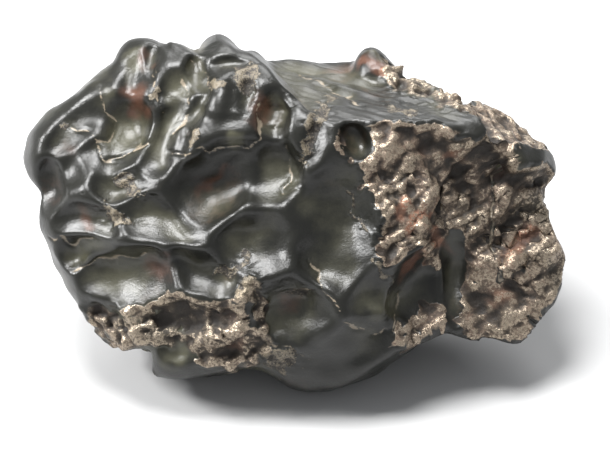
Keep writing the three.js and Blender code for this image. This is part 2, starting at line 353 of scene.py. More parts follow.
# %% Relief of torn metal
broken_faces = []
TORN_HOLLOW = 0.7
CRYSTALS = [  # size, tilt, step, sharpness, weight
    (6.5, 0.95, 0.20, 14.0, 0.42),
    (3.2, 0.85, 0.18, 14.0, 0.50),
    (1.6, 0.70, 0.15, 10.0, 0.50),
]
LAYER_ACROSS = unit((-0.52, 0.80, 0.30))
LAYER_THICK = 3.1
LAYER_STEP = 1.1
LAYER_EDGE = 0.3
LAYER_MEAN = 0.35
NEAR_BREAK = 4  # relief is only worked out this close to a broken face
NEAR_HOLLOW = 3


def torn_relief(p, facets=True):
    relief = facet_relief(p) if facets else np.zeros(p.shape[1])
    for size, tilt, step, sharp, weight in CRYSTALS:
        relief += weight * crystal_relief(p, size, tilt, step, sharp)
    layer = (LAYER_ACROSS @ p + relief) / LAYER_THICK
    relief += LAYER_STEP * (np.abs(layer % 1 - LAYER_EDGE) - LAYER_MEAN)
    return relief


# %% Breaking away and adding
def break_away(planes, blend, torn=False):
    faces = [(np.array(point, float)[:, None], unit(normal)) for point, normal in planes]

    def beyond(p):
        outside = None
        for point, normal in faces:
            face = normal @ (p - point)
            outside = face if outside is None else smooth_min(outside, face, blend)
        near = np.abs(outside) < NEAR_BREAK
        if torn and near.any():
            outside[near] += torn_relief(p[:, near])
        return outside

    if torn:
        broken_faces.append(lambda p, wandered: beyond(p))
    shaping.append(lambda p, distance, wandered: smooth_max(distance, beyond(p), blend))


def add_knob(centre, size, turn, blend):
    centre = np.array(centre, float)[:, None]
    size = np.array(size, float)[:, None]
    cosine, sine = math.cos(math.radians(turn)), math.sin(math.radians(turn))

    def knob(p, distance, wandered):
        offset = p - centre
        along = offset[0] * cosine + offset[1] * sine
        across = offset[1] * cosine - offset[0] * sine
        local = np.array([along, across, offset[2]]) / size
        share = np.sqrt((local**2).sum(0)) + 1e-6
        slope = np.sqrt(((local / size) ** 2).sum(0)) + 1e-6
        return smooth_min(distance, share * (share - 1) / slope, blend)

    shaping.append(knob)


# %% Scooping
def scoop(centre, facing, length, width, turn, depth, crest, torn=False):
    up = np.array([0, 1, 0]) if abs(facing[1]) < 0.85 else np.array([0, 0, 1])
    level = unit(np.cross(up, facing))
    steep = np.cross(facing, level)
    cosine, sine = math.cos(math.radians(turn)), math.sin(math.radians(turn))
    along = cosine * level + sine * steep
    across = np.cross(facing, along)

    def bowl(p, wandered):
        offset = wandered - centre[:, None]
        a, b = along @ offset / length, across @ offset / width
        slope = np.sqrt(1 + (2 * depth * a / length) ** 2 + (2 * depth * b / width) ** 2)
        inside = (facing @ offset + depth * (1 - a * a - b * b)) / slope
        near = np.abs(inside) < NEAR_HOLLOW
        if torn and near.any():
            inside[near] += TORN_HOLLOW * torn_relief(p[:, near], facets=False)
        return inside

    if torn:
        broken_faces.append(bowl)
    shaping.append(lambda p, distance, wandered: smooth_max(distance, bowl(p, wandered), crest))


# %% [markdown]
# A hollow of the face is given by where it is seen from the front. The hollows round
# the rest of the lump are spread evenly, and the places shaped by other steps, which
# are the face, the planed top and the underside, are left out.

# %% Hollows of the face and of the outside
OUT = np.array([0, 0, 1.0])
IN_FRONT = 45
SQUARE_TO_SKIN = 0.35
FACE_CREST = 0.3
FACE_CREST_GROWTH = 0.13
FACE_DROOP = 0.18


def scoop_face(u, v, length, width, turn, depth, torn=False):
    centre = walk_to_skin((u, v, IN_FRONT), -OUT)
    outward = np.array([0, -FACE_DROOP, 1])
    facing = unit(SQUARE_TO_SKIN * skin_normal(centre) + (1 - SQUARE_TO_SKIN) * outward)
    scoop(centre, facing, length, width, turn, depth, FACE_CREST + FACE_CREST_GROWTH * width, torn)


SPINE_HALF = 34
CLEAR_OF_LUMP = 60
OUTER_CREST = 1.0
OUTER_SHORT = 8
OUTER_LONG = 14
OUTER_NARROW = 0.62  # the narrowest half width, as a share of the half length
OUTER_WIDER = 0.33
OUTER_DEPTH = 0.42  # as a share of the half width


def is_shaped_otherwise(aim):
    """Whether this way out from the middle meets ground that has steps of its own."""
    on_face = aim[2] > -0.15
    on_top = aim[1] > 0.45 and aim[2] > -0.75 and aim[0] > -0.3
    underneath = aim @ down > 0.84
    return on_face or on_top or underneath


def scoop_outside(index):
    aim = heading(spread(index, 0), spread(index, 1))
    if is_shaped_otherwise(aim):
        return
    length = OUTER_SHORT + (OUTER_LONG - OUTER_SHORT) * spread(index, 3)
    width = length * (OUTER_NARROW + OUTER_WIDER * spread(index, 4))
    start = np.array([SPINE_HALF * aim[0], 0, 0]) + CLEAR_OF_LUMP * aim
    centre = walk_to_skin(start, -aim)
    turn = 360 * spread(index, 5)
    scoop(centre, skin_normal(centre), length, width, turn, OUTER_DEPTH * width, OUTER_CREST)


# %% [markdown]
# ## Carving the lump
#
# First the broad forms: the flanks, the smooth top that the air planed flat, the keel
# and the heel it rests on. Then the torn end in two steps with a broken ledge behind
# the top, then the hollows.

# %% Broad forms
TOP_POINT = (10, 20.4, 22)
TOP_NORMAL = (0.06, 0.93, 0.36)

# the upper flank, the planed top with its left end, the keel and the lower flank
break_away([((-34, 20, 18.5), (-0.3, 0.36, 0.88))], 4)
break_away([(TOP_POINT, TOP_NORMAL), ((-2.5, 28.8, 0), (0.72, 0.69, 0.05))], 1)
break_away([((10, -27, 18), (0, -0.66, 0.75))], 2)
break_away([((-36, -20, 18), (-0.3, -0.5, 0.8))], 4)

# the heel behind the keel, which carries the worn flat
add_knob((-4, -14, -20), (28, 11, 11.5), 0, 6)

# %% Torn end
TORN_BLEND = 0.8
break_away(
    [
        ((18, 5, 21.5), (0.44, 0.05, 0.9)),
        ((30, 17.5, 20), (-0.25, -1, 0.35)),
        ((18.5, 2, 20), (0.9, 0.3, 0.35)),
    ],
    TORN_BLEND,
    torn=True,
)
break_away(
    [
        ((33, 0, 10.5), (0.22, -0.1, 0.95)),
        ((44, 8.5, 12), (-0.35, -1, 0.15)),
        ((31.5, -2, 10), (0.9, -0.25, 0.3)),
    ],
    TORN_BLEND,
    torn=True,
)
break_away(
    [((36, 23.4, 0), (0.42, 0.9, 0.12)), ((28, 24, -4), (0.8, 0.1, -0.6))],
    TORN_BLEND,
    torn=True,
)

# %% Hollows round the outside
OUTER_HOLLOWS = 96
for index in range(OUTER_HOLLOWS):
    scoop_outside(index)

# %% Nose, skyline knobs and the column
KNOBS = [  # middle, half sizes, turn, blend
    ((-54, 14.5, 3), (6, 8.5, 10), -28, 3),
    ((-34, 33, 2), (5.4, 6, 9), 12, 2),
    ((-26.5, 32, 4), (4, 6.4, 8), 20, 1.2),
    ((-17.8, 33.5, 1), (4.4, 6.4, 8), 0, 1.2),
    ((16.8, 31, -9), (4.4, 6.4, 7), 8, 2.5),
    ((22.5, 27.5, -8), (9, 3.6, 8), -38, 2),
    ((-17.4, 22.5, 15.2), (4.4, 10.5, 7.6), -6, 1),
    ((-18, 30.5, 9), (4.6, 2.6, 5.5), 0, 1),
]
for knob in KNOBS:
    add_knob(*knob)

# %% Hollows of the face
TORN = True
FACE_HOLLOWS = [  # u, v, half length, half width, turn, depth, whether torn
    (-56, 6.5, 5, 3.5, 80, 1.6),
    (-49.5, 12, 7.5, 3.6, 52, 1.3),
    (-48, 22, 7.4, 4.2, 42, 1.2),
    (-44.5, 15, 6, 4, 30, 2.6),
    (-35.4, 33.5, 4.4, 3.6, 60, 1.1),
    (-30.8, 35.8, 5.5, 2, 80, 2),
    (-22.6, 33.6, 5.5, 2, 98, 2),
    (-17.8, 33.4, 5.5, 1.5, 4, 0.8),
    (-38.4, 20.4, 11, 8.2, 76, 6.2),
    (-27.2, 28.6, 6.4, 4.6, 66, 2.6),
    (-28.6, 18.6, 14.5, 5.6, 70, 5.2),
    (-22.6, 22, 9, 2.2, 72, 2.4),
    (-11.2, 28.5, 5.5, 2, 84, 1.5),
    (-5.8, 23, 7.6, 4.6, 84, 4.6),
    (-18.5, 6.8, 17, 9.6, 30, 8),
    (-5, 10.5, 8, 6.4, 70, 4),
    (-9.5, -6, 12.5, 9.4, 35, 6),
    (8.5, -2, 18.5, 12.6, 104, 7.4),
    (12.7, 16.2, 4.4, 2.6, 90, 3.4),
    (4.5, 17.5, 8, 2.6, 70, 1.4),
    (-1, -22.5, 11, 10.4, 80, 7.4),
    (19.5, -18.5, 9.8, 8.6, 0, 5.4),
    (28, -16, 5.4, 6, 0, 2.6),
    (35.5, -17.5, 8, 3.2, 86, 1.7),
    (-40.5, -14.5, 14, 8, 5, 6),
    (-50, -1.5, 10, 5.2, 3, 4),
    (-50, -8.5, 8.5, 4.2, 12, 3.2),
    (-33, 0, 12, 6.4, -18, 5.6),
    (-38, 7, 11, 5, -10, 4.2),
    (-21, -13, 13, 6.2, -14, 6),
    (-45, -23, 7.5, 4.5, -30, 2.4),
    (-27, -23.5, 14, 6.4, 2, 5, TORN),
    (-27, -31.2, 4.6, 4.4, 0, 2.2),
    (-15, -31, 7, 3.6, 12, 1.8, TORN),
    (14, -31.5, 16, 6, 28, 2),
]
for hollow in FACE_HOLLOWS:
    scoop_face(*hollow)
add_knob((-25.6, 33.2, 6.5), (2.2, 6, 4.5), 32, 1)


def swell(p, distance, wandered):
    return distance + SWELL * wave_sum(p, swell_waves)


def rest_flat(p, distance, wandered):
    return np.maximum(distance, down @ p - REST_CUT)


shaping.append(swell)
shaping.append(rest_flat)
print(len(shaping), "shaping steps")

# %% [markdown]
# ## Where the lump lies in the frame
#
# The plain solid was set down with the middle of its footprint at the origin. The
# shift back is found from its own corners: they should all lie on the skin, so the
# shift is nudged until what is left over is as small as it can be.

# %% Find the shift
FIT_POINTS = 1500
FIT_ROUNDS = 5
FIT_REACH = 2
plain_points = np.array([corner.co for corner in plain.data.vertices], float)
plain_points = plain_points[:: max(1, len(plain_points) // FIT_POINTS)]


def slopes(p, distance, reach=0.06):
    return np.array([(skin(p + reach * axis[:, None]) - distance) / reach for axis in np.eye(3)])


shift = np.array([0, 0, REST_CUT])
for _ in range(FIT_ROUNDS):
    p = to_face(plain_points, shift).T
    distance = skin(p)
    slope = face_to_frame @ slopes(p, distance)
    close = np.abs(distance) < FIT_REACH
    nudge, *_ = np.linalg.lstsq(-slope[:2, close].T, -distance[close], rcond=None)
    shift[:2] += np.clip(nudge, -FIT_REACH, FIT_REACH)
print("shift, mm:", shift.round(2), "left over, mm:", np.abs(distance).mean().round(3))

# %% [markdown]
# ## A finer skin
#
# The plain solid's triangles are split, eased apart so that they stay even, and laid
# on to the finer description step by step.

# %% Split the triangles
SPLITS = 4


def finer_copy(source, splits):
    fine = source.copy()
    fine.data = source.data.copy()
    fine.name = "crusted_lump"
    bpy.context.collection.objects.link(fine)
    bpy.context.view_layer.objects.active = fine
    for other in bpy.context.selected_objects:
        other.select_set(False)
    fine.select_set(True)
    bpy.ops.object.mode_set(mode="EDIT")
    bpy.ops.mesh.select_all(action="SELECT")
    bpy.ops.mesh.remove_doubles(threshold=1e-6)
    bpy.ops.mesh.subdivide(number_cuts=splits - 1)
    bpy.ops.object.mode_set(mode="OBJECT")
    return fine


def neighbour_means(edges, values):
    total = np.zeros_like(values)
    count = np.zeros(len(values))
    for here, there in ((0, 1), (1, 0)):
        for axis in range(values.shape[1]):
            total[:, axis] += np.bincount(edges[:, here], values[edges[:, there], axis], len(values))
        count += np.bincount(edges[:, here], minlength=len(values))
    return total / count[:, None]


stone = finer_copy(plain, SPLITS)
mesh = stone.data
edges = np.zeros(2 * len(mesh.edges), int)
mesh.edges.foreach_get("vertices", edges)
edges = edges.reshape(-1, 2)
points = np.zeros(3 * len(mesh.vertices))
mesh.vertices.foreach_get("co", points)
points = to_face(points.reshape(-1, 3), shift)

# %% Lay them on the skin
PULLS = ((0.5, 0.5, 0.4, 0.3, 0.2, 0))
LAST_PULL = 0.12
LONGEST_STEP = 0.8
LEAST_STEEP = 0.5


def lay_on_skin(points, pull):
    if pull:
        points = points + pull * (neighbour_means(edges, points) - points)
    p = points.T
    distance = skin(p)
    slope = slopes(p, distance)
    steepness = np.sqrt((slope**2).sum(0))
    step = np.clip(-distance / np.maximum(steepness, LEAST_STEEP), -LONGEST_STEP, LONGEST_STEP)
    return (p + step * slope / np.maximum(steepness, 1e-6)).T


for pull in PULLS:
    points = lay_on_skin(points, pull)
points = points + LAST_PULL * (neighbour_means(edges, points) - points)
mesh.vertices.foreach_set("co", to_frame(points, shift).ravel())
mesh.update()
mesh.shade_smooth()
print(len(mesh.vertices), "corners,", len(mesh.polygons), "faces")


def corner_normals():
    normals = np.zeros(3 * len(mesh.vertices))
    mesh.vertex_normals.foreach_get("vector", normals)
    return normals.reshape(-1, 3) @ face_to_frame


# %% [markdown]
# ## Marks on the face
#
# Some marks are too fine for the carving: rough crumbly patches where the crust never
# closed, and stains of rust or thin olive crust. Each is an oval on the face given by
# its middle, its half length and half width, its turn and its strength.

# %% Crumbly and raw patches
CRUMBLY = [  # u, v, half length, half width, turn, strength
    (-17.8, 28.4, 2.6, 1.9, 0, 1),
    (-22.9, 16.4, 1.8, 1.8, 0, 0.9),
    (-39.1, -0.7, 4.2, 2.3, -20, 1.1),
    (-36.9, 6.4, 3.8, 1.8, -35, 1.1),
    (-14, -11.3, 5, 1.3, 20, 0.9),
    (-11.3, -15.8, 3.2, 1.6, 35, 1),
    (-11.3, 28.7, 4.6, 2.3, 80, 1.1),
    (3.8, 18.7, 9, 2.2, 70, 1.1),
    (-3.3, -32, 4.6, 2.8, 10, 1.2),
    (23.3, 22.4, 4.2, 1.8, -15, 0.9),
    (-50.7, 19.8, 3, 1.6, 40, 0.6),
    (0.4, -16.9, 4, 0.9, 0, 0.9),
    (-31.2, 27.5, 4.5, 0.9, 100, 0.8),
    (18.5, -13, 0.9, 4.5, 25, 0.7),
    (12.5, 2, 7, 0.9, -62, 0.8),
]
RAW = [  # raw metal, where pieces broke out of the crust
    (17.5, 36, 5, 4, -30, 0.3),
    (24, 30.5, 7, 3, -40, 1),
    (33, 26, 6, 2.4, -25, 0.9),
    (-34, -26, 10, 3, -6, 1),
    (-41, -25, 6, 3, -35, 1),
    (-17.5, -28, 7, 3.2, 6, 1.1),
    (-13.5, -30, 7, 3.8, 12, 1.1),
    (-10.5, -17, 3.2, 1.8, 30, 1),
    (-8.3, -23.5, 1.3, 7, 0, 1),
    (-18.2, 35.8, 2.0, 1.5, 0, 0.2),
]

# %% Rust and olive crust
RUSTED = [
    (-35.6, 25.3, 3.2, 5.5, 20, 1),
    (-33.5, 34, 3, 2, 60, 0.8),
    (-50.5, 14.5, 3.5, 3, 40, 0.5),
    (-46.7, -1.3, 2.6, 3.4, 0, 0.9),
    (-8, 22.7, 5.5, 3.2, 90, 0.8),
    (-18.4, 7.5, 7, 1.4, 35, 0.9),
    (-16.2, 2, 4, 2.5, 20, 0.5),
    (-1.8, -19, 5, 3, 20, 0.7),
    (-30.7, -12.4, 4.5, 3.5, -20, 0.8),
    (12, -3, 5, 7, 0, 0.3),
    (17, 33, 4, 1.8, -20, 1.2),
    (15, 27, 5, 1.5, -20, 0.5),
    (-13, -29, 6, 2.5, 10, 0.6),
    (22.7, 2, 4.5, 2.2, 80, 1.1),
    (26, -1.3, 5.5, 1.5, 50, 1.1),
    (31.5, -5.8, 4.5, 1.6, -40, 1),
    (49.3, -5.8, 7, 3.4, 50, 0.9),
    (24.9, -11.3, 5, 1.4, 45, 1.1),
    (44.9, -19, 5, 4, 0, 0.7),
    (34, 13, 6, 1.6, 25, 0.8),
]
OLIVE = [
    (-36.2, 34.2, 3.5, 3, 60, 1),
    (-38.4, 17.5, 7, 4, 20, 0.8),
    (-41.8, 26.4, 4, 3, 50, 0.8),
    (-26.2, 28.7, 6, 4, 80, 0.7),
    (-30, 17, 9, 4, 50, 0.7),
    (-14, 16.4, 2.5, 2.5, 0, 1.2),
    (-38.4, -14.7, 9, 5, 0, 0.8),
    (-48.4, -9.1, 5, 3, 0, 0.6),
    (-10.7, -4.7, 7, 5, 20, 0.5),
    (19.3, -20.2, 5, 4, 0, 0.9),
    (-26.7, -31.3, 3.5, 3, 0, 1),
    (0.4, -24.7, 6, 4, 0, 0.5),
    (34, -20, 2, 5, 0, 0.5),
    (51.5, 0.9, 7, 4, 10, 1),
    (56, -11.3, 3, 5.5, 0, 1),
    (47, 11, 5, 3, 10, 0.8),
    (-27, -25, 17, 8, 0, 1),
    (30, -2, 3, 4, 0, 0.8),
    (17, 37, 5, 2.5, -20, 1),
    (28, 28, 8, 4, -35, 0.8),
]

# %% Reading the ovals
FACE_DEPTH = -6.0  # marks of the face stop this far behind its middle
EDGE_WANDER = 0.9
EDGE_COUNT = 12
EDGE_SERIES = 200
edge_waves = [make_waves(EDGE_COUNT, 3, 9, EDGE_SERIES + EDGE_COUNT * axis) for axis in range(2)]


def ragged(p):
    """Where p is, seen from the front, shifted a little so that edges are ragged."""
    return p[:2] + EDGE_WANDER * np.array([wave_sum(p, waves) for waves in edge_waves])


def oval_map(p, ovals):
    across_face, up_face = ragged(p)
    strongest = np.zeros(p.shape[1])
    for u, v, length, width, turn, strength in ovals:
        cosine, sine = math.cos(math.radians(turn)), math.sin(math.radians(turn))
        along = (cosine * (across_face - u) + sine * (up_face - v)) / length
        across = (cosine * (up_face - v) - sine * (across_face - u)) / width
        strongest = np.maximum(strongest, strength * np.exp(-(along**2) - across**2))
    return np.where(p[2] > FACE_DEPTH, strongest, 0)


# %% Raise the crumbs
CRUMB_RELIEF = 0.7
RAW_RELIEF = 0.75
RAW_GAIN = 1.4

p = points.T
crumbly = oval_map(p, CRUMBLY)
raw = np.clip(oval_map(p, RAW) * RAW_GAIN, 0, 1)
crumbs = crystal_relief(p, size=1.5, tilt=0.8, step=0.3, sharp=9.0)
chunks = crystal_relief(p, size=3.2, tilt=0.9, step=0.25, sharp=9.0) + crumbs
lift = CRUMB_RELIEF * crumbly * crumbs + RAW_RELIEF * raw * chunks
points = points + corner_normals() * lift[:, None]
print("crumbly share:", (crumbly > 0.5).mean().round(3))

# %% [markdown]
# Where two lobes of crust meet, the melt cracked as it cooled. Each crack is a course
# of points over the face. It is pressed in as a fine groove, and pale dust lies in it.

# %% Courses of the cracks
CRACKS = [
    [(-28, 13.1), (-26.2, 12.7), (-23.6, 13.1), (-20.7, 14.2), (-16.2, 13.8), (-12.9, 14.9)],
    [(-12.9, 14.9), (-10.7, 14.4), (-8, 16.4), (-8, 19.8), (-8.9, 26.4)],
    [(-32.4, 30.9), (-31.6, 27.1), (-30, 24.7), (-29.3, 21.6)],
    [(-49.6, 19.3), (-46.2, 17.6), (-44, 15.8), (-42.4, 11.6), (-40.7, 11.3)],
    [(-44, 27.6), (-42.9, 23.1), (-40, 19.8), (-41.3, 16.4), (-44, 15.8)],
    [(-41.8, 11.6), (-37.3, 13.1), (-32.9, 15.8)],
    [(-2.9, 15.8), (-1.3, 12), (-1.8, 8.7), (-3.3, 5.3)],
    [(2.7, -10.2), (4.9, -14.7), (8.2, -20.2), (10.4, -23.6), (16, -26.2), (21.6, -25.8), (27, -26)],
    [(-55, -5.3), (-49.6, -6.2), (-44.4, -5.3)],
    [(-49.6, -12.9), (-44, -9.8), (-32.9, -9.3)],
    [(-8.9, -16.9), (-8, -22.4), (-8, -26.9), (-6.7, -29.1), (-2, -28.9), (1.5, -32)],
    [(42.7, 12), (43.1, 3.1), (42.7, -5.8), (44.9, -14.7)],
    [(0.4, 31.6), (4.9, 29.3), (10.4, 26.4), (13.8, 23.6)],
    [(-25.6, 30), (-24.2, 26), (-23.5, 22), (-27, 17.5)],
    [(22.2, -17.5), (21.5, -22), (21.6, -25.8)],
    [(-22.7, 33.5), (-20.5, 31), (-19.5, 27)],
]

# %% Press the cracks in
CRACK_WIDTH = 0.45
CRACK_DEPTH = 0.4
CRACK_SEEN = 1.4  # the crack map runs from 1 on the line to 0 this far off
FAR_OFF = 9.0


def crack_distance(p):
    place = 0.5 * (ragged(p) + p[:2])
    nearest = np.full(p.shape[1], FAR_OFF)
    for course in CRACKS:
        for start, end in zip(course, course[1:]):
            begin = np.array(start, float)[:, None]
            step = np.array(end, float)[:, None] - begin
            share = np.clip(((place - begin) * step).sum(0) / (step**2).sum(), 0, 1)
            nearest = np.minimum(nearest, np.hypot(*(place - begin - share * step)))
    return np.where(p[2] > FACE_DEPTH, nearest, FAR_OFF)


off_crack = crack_distance(points.T)
groove = CRACK_DEPTH * np.exp(-((off_crack / CRACK_WIDTH) ** 2))
points = points - corner_normals() * groove[:, None]

# %% [markdown]
# The smooth top was planed by the air in flight, so it carries fine flow lines that
# run down its slope. They are long in one direction and close together in the other.

# %% Flow lines of the top
FLOW_STRETCH = 0.13
FLOW_RELIEF = 0.3
FLOW_SERIES = 300
TOP_REACH = 0.8

top_normal = unit(TOP_NORMAL)
flow = unit((1, -0.3, 0.61))
across_flow = np.cross(top_normal, flow)
p = points.T
above_top = top_normal @ (p - np.array(TOP_POINT)[:, None])
on_top = np.exp(-((above_top / TOP_REACH) ** 2))
lines = np.array([across_flow @ p, FLOW_STRETCH * (flow @ p), np.zeros(len(points))])
relief = wave_sum(lines, make_waves(16, 2.2, 9, FLOW_SERIES))
points = points + corner_normals() * (FLOW_RELIEF * on_top * relief)[:, None]
mesh.vertices.foreach_set("co", to_frame(points, shift).ravel())
mesh.update()
print("on the smooth top:", (on_top > 0.5).mean().round(3))

# %% [markdown]
# ## What lies where
#
# Maps are kept on the corners of the mesh for the finish: where the metal is torn or
# crumbly, how hollow the ground is, where rust and olive crust lie, and the cracks.

# %% How hollow the ground is
BROAD_ROUNDS = 60
FINE_ROUNDS = 5


def hollowness(rounds):
    """How far the ground lies below the mean of its surroundings, in millimetres."""
    spread_out = points
    for _ in range(rounds):
        spread_out = neighbour_means(edges, spread_out)
    return ((spread_out - points) * corner_normals()).sum(1)


broad_hollow = hollowness(BROAD_ROUNDS)
fine_hollow = hollowness(FINE_ROUNDS)
print("broad hollows, mm:", np.percentile(broad_hollow, [2, 98]).round(2))
print("fine hollows, mm:", np.percentile(fine_hollow, [2, 98]).round(2))

# %% [markdown]
# The broken faces are known from the carving: metal is torn where the skin lies on one
# of them. Stains are patchy, stronger in hollow ground, and faint on the scoured face
# apart from its ovals.

# %% Torn metal and stains
TORN_REACH = 0.6
RAW_AS_TORN = 0.9
FACE_STAIN = 0.6
RUST_SERIES = 40
OLIVE_SERIES = 60

p = points.T
wandered = wander(p)
torn = RAW_AS_TORN * raw
for broken_face in broken_faces:
    torn = np.maximum(torn, np.exp(-((broken_face(p, wandered) / TORN_REACH) ** 2)))
print("torn share:", torn.mean().round(3))


def stain(rest, patchy, in_hollows, most, waves, ovals):
    amount = rest + patchy * wave_sum(p, waves) + in_hollows * broad_hollow
    amount = np.clip(amount, 0, most)
    amount = np.where(p[2] > FACE_DEPTH, FACE_STAIN * amount, amount)
    return np.maximum(amount, oval_map(p, ovals))


rust_waves = make_waves(14, 9, 30, RUST_SERIES)
rust = stain(rest=0.25, patchy=0.3, in_hollows=0.15, most=0.7, waves=rust_waves, ovals=RUSTED)
olive_waves = make_waves(14, 12, 34, OLIVE_SERIES)
olive = stain(rest=0.35, patchy=0.4, in_hollows=0.3, most=0.8, waves=olive_waves, ovals=OLIVE)


# %% Maps on the mesh
def add_map(name, values):
    layer = mesh.attributes.new(name, "FLOAT", "POINT")
    layer.data.foreach_set("value", np.ascontiguousarray(values, np.float32))


MAPS = {
    "torn": torn,
    "crumbly": crumbly,
    "hollow": np.clip(0.5 + 0.6 * broad_hollow, 0, 1),
    "pits": np.clip(0.5 + 2.2 * fine_hollow, 0, 1),
    "rust": rust,
    "olive": olive,
    "crack": np.clip(1 - off_crack / CRACK_SEEN, 0, 1),
}
for name, values in MAPS.items():
    add_map(name, values)
print("maps:", ", ".join(MAPS))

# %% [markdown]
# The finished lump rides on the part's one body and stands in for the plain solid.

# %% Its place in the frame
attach(stone, "root")
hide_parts("meteorite")

# %% [markdown]
# ## A short way to write shader maths
#
# One small class wraps a socket, so that a finish reads as arithmetic. `node` makes
# any node: its settings come first, then its sockets by name, or as `i6` by number.


# %% Shader helper
class Value:
    def __init__(self, tree, socket):
        self.tree, self.socket = tree, socket

    def node(self, kind, settings=(), **sockets):
        made = self.tree.nodes.new(kind)
        for name, setting in dict(settings).items():
            setattr(made, name, setting)
        for name, value in sockets.items():
            key = int(name[1:]) if name[1:].isdigit() else name.replace("_", " ")
            plug = made.inputs[key]
            if isinstance(value, Value):
                self.tree.links.new(value.socket, plug)
            else:
                plug.default_value = value
        return made

    def maths(self, operation, a, b):
        made = self.node("ShaderNodeMath", {"operation": operation}, i0=a, i1=b)
        return Value(self.tree, made.outputs[0])

    def __add__(self, other):
        return self.maths("ADD", self, other)

    def __mul__(self, other):
        return self.maths("MULTIPLY", self, other)

    def __sub__(self, other):
        return self.maths("SUBTRACT", self, other)

    def __rsub__(self, other):
        return self.maths("SUBTRACT", other, self)

    __radd__ = __add__
    __rmul__ = __mul__

    def ramp(self, low, high):
        """0 at low and 1 at high, eased between; low may be the larger."""
        made = self.node(
            "ShaderNodeMapRange",
            {"interpolation_type": "SMOOTHSTEP", "clamp": True},
            Value=self,
            From_Min=low,
            From_Max=high,
        )
        return Value(self.tree, made.outputs[0])

    def blend(self, low, high):
        """Colour low where this is 0, colour high where it is 1."""
        made = self.node("ShaderNodeMix", {"data_type": "RGBA"}, Factor=self, i6=low, i7=high)
        return Value(self.tree, made.outputs[2])


# %% [markdown]
# ## Crust and torn metal
#
# The crust is a skin of black iron oxide: dark, hard and glossy, with olive and brown
# tints where it is thin. The torn end has no crust. It is brown and rusty, with small
# crystal faces that glint. The crust runs out into the torn metal with no edge between
# them, so one material carries both, chosen by the maps on the mesh.

# %% A material, its maps and its noise
finish = bpy.data.materials.new("fusion_crust")
finish.use_nodes = True
tree = finish.node_tree
shader = tree.nodes["Principled BSDF"]
start = Value(tree, None)  # holds no socket; it only makes nodes
place = Value(tree, start.node("ShaderNodeTexCoord").outputs["Object"])


def mapped(name):
    settings = {"attribute_name": name, "attribute_type": "GEOMETRY"}
    return Value(tree, start.node("ShaderNodeAttribute", settings).outputs["Fac"])


def noise(scale, detail=4.0, roughness=0.55, stretch=(1, 1, 1), turn=(0, 0, 0)):
    """Noise from 0 to 1 with `scale` repeats in a metre."""
    spot = start.node("ShaderNodeMapping", {}, Vector=place, Scale=stretch, Rotation=turn)
    made = start.node(
        "ShaderNodeTexNoise",
        {"noise_dimensions": "3D"},
        Vector=Value(tree, spot.outputs[0]),
        Scale=scale,
        Detail=detail,
        Roughness=roughness,
    )
    return Value(tree, made.outputs[0])


# %% [markdown]
# Noise of several sizes breaks up every edge and tone: patches of about 8 mm, a mottle
# of 2 mm, chips of 1 mm, grain and speckle below that, and a faint brushing left by
# the rush of air.

# %% Maps and noise of the lump
hollow_map = mapped("hollow")
pits_map = mapped("pits")
rust_map = mapped("rust")
olive_map = mapped("olive")
patches = noise(120)
mottle = noise(420, 4.0, 0.65)
chips = noise(900, 5.0, 0.7)
grain = noise(1600, 4.0, 0.6)
speckle = noise(2600, 3.0, 0.7)
brushed = noise(260, 5.0, 0.6, stretch=(1, 4, 1), turn=(0.3, 0.2, 0.9))

# %% Where each finish shows
is_torn = (mapped("torn") + 0.5 * (patches - 0.5)).ramp(0.35, 0.6)
is_crumbly = (mapped("crumbly") + 0.9 * (mottle - 0.5) + 0.7 * (grain - 0.5)).ramp(0.45, 0.6)
in_crack = (mapped("crack") + 0.7 * (mottle - 0.5)).ramp(0.8, 0.95)
is_rough = 1 - (1 - is_torn) * (1 - is_crumbly)

# %% [markdown]
# Black crust first. Olive shows through where it is thin, most of all in the hollows,
# and rust has crept over parts of it.

# %% Colour of the crust
CRUST_BLACK = (0.009, 0.009, 0.007, 1)
CRUST_OLIVE = (0.058, 0.056, 0.037, 1)
CRUST_RUST = (0.075, 0.035, 0.022, 1)

thin = (olive_map + 0.5 * (mottle - 0.5) + 0.3 * (hollow_map - 0.5)).ramp(0.1, 1.0)
reddish = (rust_map + 0.6 * (mottle - 0.5)).ramp(0.3, 1.1)
crust = (thin * (0.7 + 0.6 * speckle)).blend(CRUST_BLACK, CRUST_OLIVE)
crust = reddish.blend(crust, CRUST_RUST)

# %% [markdown]
# Torn metal is brown on its raised faces, with painted shade that darkens its pits and hollows.
# Rust gathers in patches. The cleanest crystal faces are pale metal, and their pale colour also
# paints a glint.

# %% Colour of the torn metal
# The dark of random specks, also used as painted shade in pits and hollows.
TORN_DARK_AND_SHADE = (0.018, 0.014, 0.011, 1)
TORN_BROWN = (0.168, 0.130, 0.092, 1)
TORN_TAN = (0.275, 0.192, 0.140, 1)
TORN_OLIVE = (0.075, 0.066, 0.045, 1)
TORN_RUST = (0.240, 0.110, 0.066, 1)
TORN_CLEAN_AND_GLINT = (0.410, 0.345, 0.265, 1)

raised = (0.7 * (1 - pits_map) + 0.2 * (1 - hollow_map) + 0.5 * mottle - 0.2).ramp(-0.05, 1.0)
glints = (grain + 0.35 * (raised - 0.5)).ramp(0.57, 0.68)
dirt = (0.4 * grain + 0.6 * speckle).ramp(0.6, 0.4)
rusty = (rust_map + 0.9 * (patches - 0.5)).ramp(0.35, 0.9) * (0.35 + 0.65 * raised)

metal = (0.6 * patches + 0.6 * mottle - 0.1).ramp(0.3, 0.7).blend(TORN_BROWN, TORN_TAN)
metal = (olive_map * 0.8).blend(metal, TORN_OLIVE)
# Painted shade: the pits and broad hollows of the torn metal are darkened.
metal = raised.blend(TORN_DARK_AND_SHADE, metal)
metal = (dirt * 0.6).blend(metal, TORN_DARK_AND_SHADE)
metal = rusty.blend(metal, TORN_RUST)
# Pale specks of clean metal on crystal faces; their pale colour also paints a glint.
metal = (glints * 0.6).blend(metal, TORN_CLEAN_AND_GLINT)

